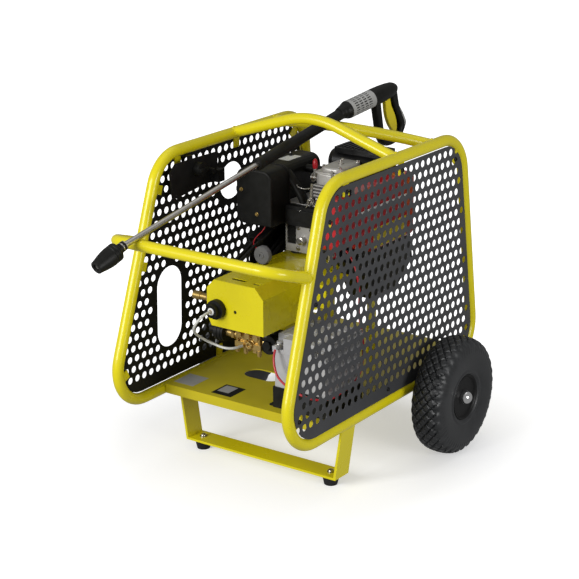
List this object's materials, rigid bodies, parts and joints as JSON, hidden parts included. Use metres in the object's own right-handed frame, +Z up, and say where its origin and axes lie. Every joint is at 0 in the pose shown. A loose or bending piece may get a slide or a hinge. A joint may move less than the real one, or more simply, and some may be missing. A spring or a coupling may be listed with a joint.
{
  "type": "pressure washer",
  "caption": "Engine-driven high-pressure washer in a wheeled tubular cage with perforated side panels, belt-driven plunger pump, battery, and a spray lance with trigger gun laid across the top.",
  "frame": {"origin": "on the ground, in the middle of the overall length and width", "axes": "+X towards the battery side, +Y from the push handle to the wheels, +Z up"},
  "size_m": [0.8028, 1.0856, 0.8982],
  "materials": {
    "yellow_paint": "gloss",
    "anthracite_paint": "satin",
    "black_paint": "satin",
    "black_plastic": "matte",
    "grey_plastic": "satin",
    "white_plastic": "gloss",
    "yellow_plastic": "gloss",
    "red_plastic": "gloss",
    "red_paint": "gloss",
    "rubber_black": "matte",
    "tyre_black": "matte",
    "steel": "satin",
    "cast_aluminium": "satin",
    "chrome": "polished",
    "brass": "satin",
    "cast_iron": "matte"
  },
  "bodies": {
    "frame": {"side_frame_left": "yellow_paint", "side_frame_right": "yellow_paint", "push_handle": "yellow_paint", "top_bars": "yellow_paint", "bottom_tray": "yellow_paint", "engine_platform": "yellow_paint", "front_stand": "yellow_paint", "rubber_feet": "rubber_black", "side_panel_left": "black_paint", "side_panel_right": "anthracite_paint", "frame_screws": "black_paint", "axle": "steel", "hub_caps": "chrome", "engine_crankcase": "cast_aluminium", "engine_mounts": "rubber_black", "cylinder_block": "cast_aluminium", "piston_and_rod": "steel", "cylinder_head": "cast_aluminium", "rocker_cover": "cast_aluminium", "engine_cowl": "black_paint", "fan_housing": "black_paint", "air_cleaner_body": "black_plastic", "air_cleaner_cover": "black_plastic", "muffler": "black_paint", "fuel_tank": "red_paint", "starter_motor": "black_paint", "drive_belts": "rubber_black", "belt_guard": "black_paint", "pump_cover": "yellow_paint", "pump_crankcase": "cast_aluminium", "plungers": "white_plastic", "pump_head": "brass", "unloader_valve": "black_plastic", "outlet_pipe": "brass", "water_filter": "black_plastic", "detergent_hose": "white_plastic", "battery": "grey_plastic", "battery_holder": "black_plastic", "battery_cable": "red_plastic", "control_plate": "black_paint"},
    "wheel_left": {"tyre_left": "tyre_black", "rim_left": "black_plastic"},
    "wheel_right": {"tyre_right": "tyre_black", "rim_right": "black_plastic"},
    "crank": {"crankshaft": "steel", "flywheel": "cast_iron", "engine_pulley": "cast_iron"},
    "pump_drive": {"pump_shaft": "cast_iron"},
    "throttle": {"speed_lever": "steel"},
    "release": {"decompression_lever": "red_plastic"},
    "filler_cap": {"fuel_cap": "black_plastic"},
    "tap_handle": {"fuel_tap": "steel"},
    "dipstick": {"oil_dipstick": "black_plastic"},
    "dosing": {"dosing_knob": "black_plastic"},
    "control": {"control_knob": "black_plastic"},
    "lance": {"lance_tube": "steel", "spray_gun": "black_plastic"},
    "nozzle": {"rotor_nozzle": "black_plastic"},
    "trigger": {"gun_trigger": "yellow_plastic"},
    "lock": {"trigger_lock": "grey_plastic"}
  },
  "joints": [
    {"name": "wheel_left_spin", "type": "hinge", "parent": "frame", "child": "wheel_left", "pos_m": [-0.345, 0.25243, 0.156], "axis": [1, 0, 0], "continuous": true},
    {"name": "wheel_right_spin", "type": "hinge", "parent": "frame", "child": "wheel_right", "pos_m": [0.345, 0.25243, 0.156], "axis": [1, 0, 0], "continuous": true},
    {"name": "crank_spin", "type": "hinge", "parent": "frame", "child": "crank", "pos_m": [0, 0.22843, 0.59], "axis": [1, 0, 0], "continuous": true},
    {"name": "pump_spin", "type": "hinge", "parent": "frame", "child": "pump_drive", "pos_m": [-0.06, -0.10157, 0.44], "axis": [1, 0, 0], "continuous": true},
    {"name": "speed_lever_turn", "type": "hinge", "parent": "frame", "child": "throttle", "pos_m": [-0.006, 0.11043, 0.655], "axis": [0, 1, 0], "range_deg": [0, 45]},
    {"name": "decompression_turn", "type": "hinge", "parent": "frame", "child": "release", "pos_m": [-0.028, 0.16443, 0.704], "axis": [1, 0, 0], "range_deg": [0, 60]},
    {"name": "fuel_cap_turn", "type": "hinge", "parent": "frame", "child": "filler_cap", "pos_m": [0.135, 0.04343, 0.726], "axis": [0, 0, 1], "range_deg": [0, 90]},
    {"name": "fuel_tap_turn", "type": "hinge", "parent": "frame", "child": "tap_handle", "pos_m": [0.135, -0.00357, 0.566], "axis": [0, 1, 0], "range_deg": [0, 90]},
    {"name": "dipstick_pull", "type": "slide", "parent": "frame", "child": "dipstick", "axis": [0, -1, 0], "range_m": [0, 0.07]},
    {"name": "dosing_knob_turn", "type": "hinge", "parent": "frame", "child": "dosing", "pos_m": [-0.064, -0.22157, 0.446], "axis": [0, -1, 0], "range_deg": [0, 270]},
    {"name": "control_knob_turn", "type": "hinge", "parent": "frame", "child": "control", "pos_m": [-0.22, -0.07557, 0.752], "axis": [1, 0, 0], "range_deg": [0, 90]},
    {"name": "lance_slide", "type": "slide", "parent": "frame", "child": "lance", "axis": [0.1553, 0.9569, 0.2456], "range_m": [0, 0.03]},
    {"name": "nozzle_turn", "type": "hinge", "parent": "lance", "child": "nozzle", "pos_m": [-0.16698, -0.50609, 0.63152], "axis": [0.1483, 0.9138, 0.3781], "continuous": true},
    {"name": "trigger_pull", "type": "hinge", "parent": "lance", "child": "trigger", "pos_m": [-0.00813, 0.47241, 0.85544], "axis": [0.9871, -0.1602, 0], "range_deg": [0, 10], "stiffness_Nm_per_rad": 0.6, "springref_deg": -8.59},
    {"name": "trigger_lock_turn", "type": "hinge", "parent": "trigger", "child": "lock", "pos_m": [-0.00362, 0.50023, 0.7972], "axis": [0.9871, -0.1602, 0], "range_deg": [0, 30]}
  ],
  "couplings": [
    {"joint": "pump_spin", "follows": "crank_spin", "ratio": 0.47368}
  ]
}
